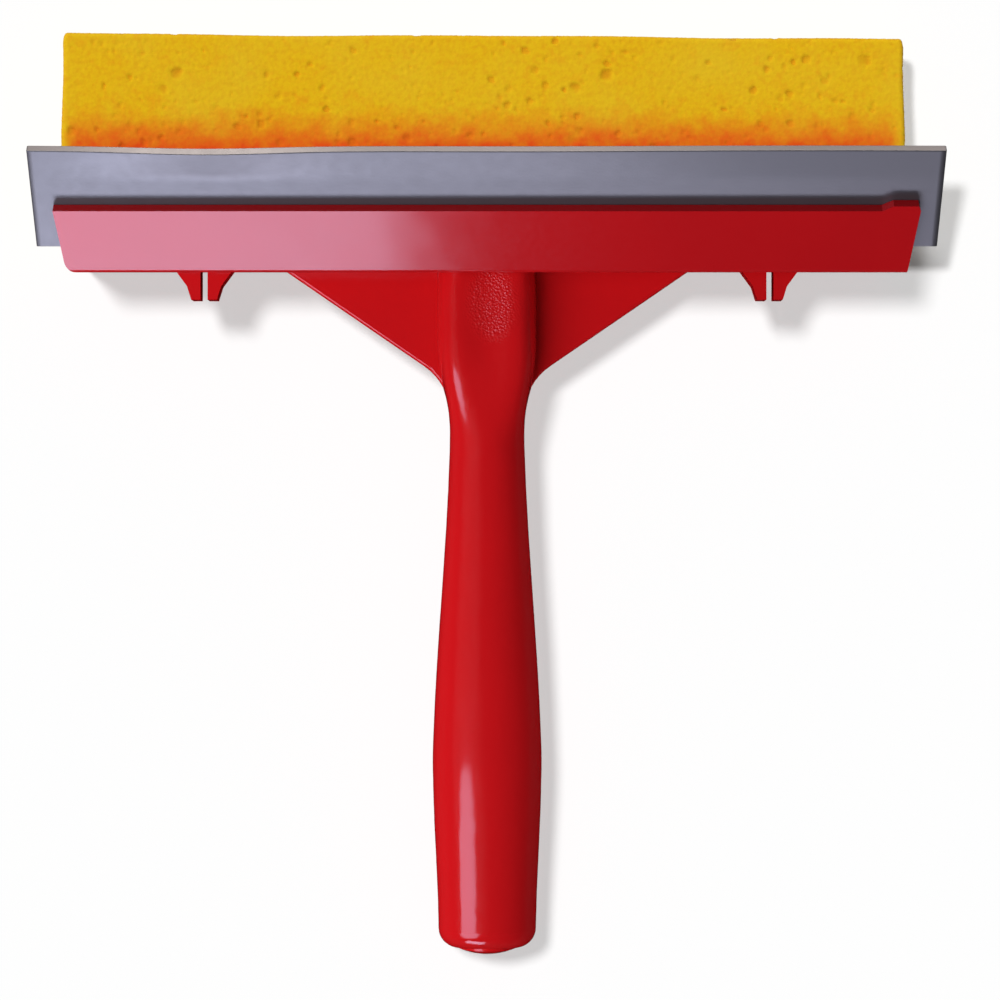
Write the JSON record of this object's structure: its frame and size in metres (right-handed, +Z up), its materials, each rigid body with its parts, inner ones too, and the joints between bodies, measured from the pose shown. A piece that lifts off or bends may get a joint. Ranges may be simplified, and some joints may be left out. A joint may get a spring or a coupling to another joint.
{
  "type": "window cleaning squeegee",
  "caption": "T-shaped hand squeegee: a leaning rubber blade in a clamped rail, a foam sponge refill behind it, and a hollow plastic grip.",
  "frame": {"origin": "centre of the footprint, on the surface the squeegee lies on with the blade leaning upwards", "axes": "+X along the blade, +Y from the grip's butt towards the sponge, +Z up, out of the face that the blade leans over"},
  "size_m": [0.25, 0.2594, 0.0592],
  "materials": {
    "handle_plastic": "glossy injection-moulded polypropylene, fine texture on the thumb rest",
    "plug_plastic": "glossy injection-moulded polypropylene",
    "strip_plastic": "glossy injection-moulded polypropylene",
    "carrier_plastic": "glossy injection-moulded polypropylene",
    "blade_rubber": "smooth satin grey rubber",
    "sponge_foam": "open-cell yellow foam with scattered pits"
  },
  "bodies": {
    "handle": {"handle_body": "handle_plastic", "butt_plug": "plug_plastic", "clamp_strip": "strip_plastic"},
    "blade": {"rubber_blade": "blade_rubber"},
    "refill": {"sponge_carrier": "carrier_plastic", "snap_legs": "carrier_plastic", "sponge": "sponge_foam"}
  },
  "joints": [
    {"name": "blade_slide", "type": "slide", "parent": "handle", "child": "blade", "axis": [1, 0, 0], "range_m": [0, 0.244]},
    {"name": "refill_slide", "type": "slide", "parent": "handle", "child": "refill", "axis": [0, 1, 0], "range_m": [0, 0.04], "deforming": ["snap_legs"]}
  ]
}
